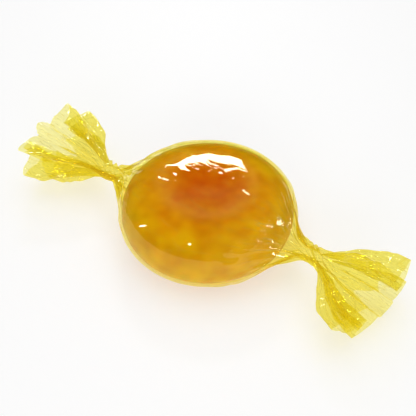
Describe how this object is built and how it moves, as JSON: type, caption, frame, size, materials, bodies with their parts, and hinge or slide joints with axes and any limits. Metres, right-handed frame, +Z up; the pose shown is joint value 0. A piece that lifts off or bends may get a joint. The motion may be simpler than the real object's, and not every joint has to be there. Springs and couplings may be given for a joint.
{
  "type": "butterscotch candy",
  "caption": "Round dished butterscotch hard candy, lying flat, twist-wrapped in clear yellow film with a pleated fan at each end.",
  "frame": {"origin": "on the surface that the candy lies on, under the middle of its whole box", "axes": "+X from the left twist to the right twist, +Y away from the viewer across the disc, +Z up along the disc's axis"},
  "size_m": [0.0608, 0.0264, 0.012],
  "materials": {
    "amber_hard_candy": "smooth glossy boiled-sugar candy, translucent amber",
    "yellow_clear_film": "thin crisp cellophane film, clear lemon yellow, glossy, creased towards the twists"
  },
  "bodies": {
    "root": {"candy": "amber_hard_candy", "wrapper": "yellow_clear_film"}
  },
  "joints": []
}
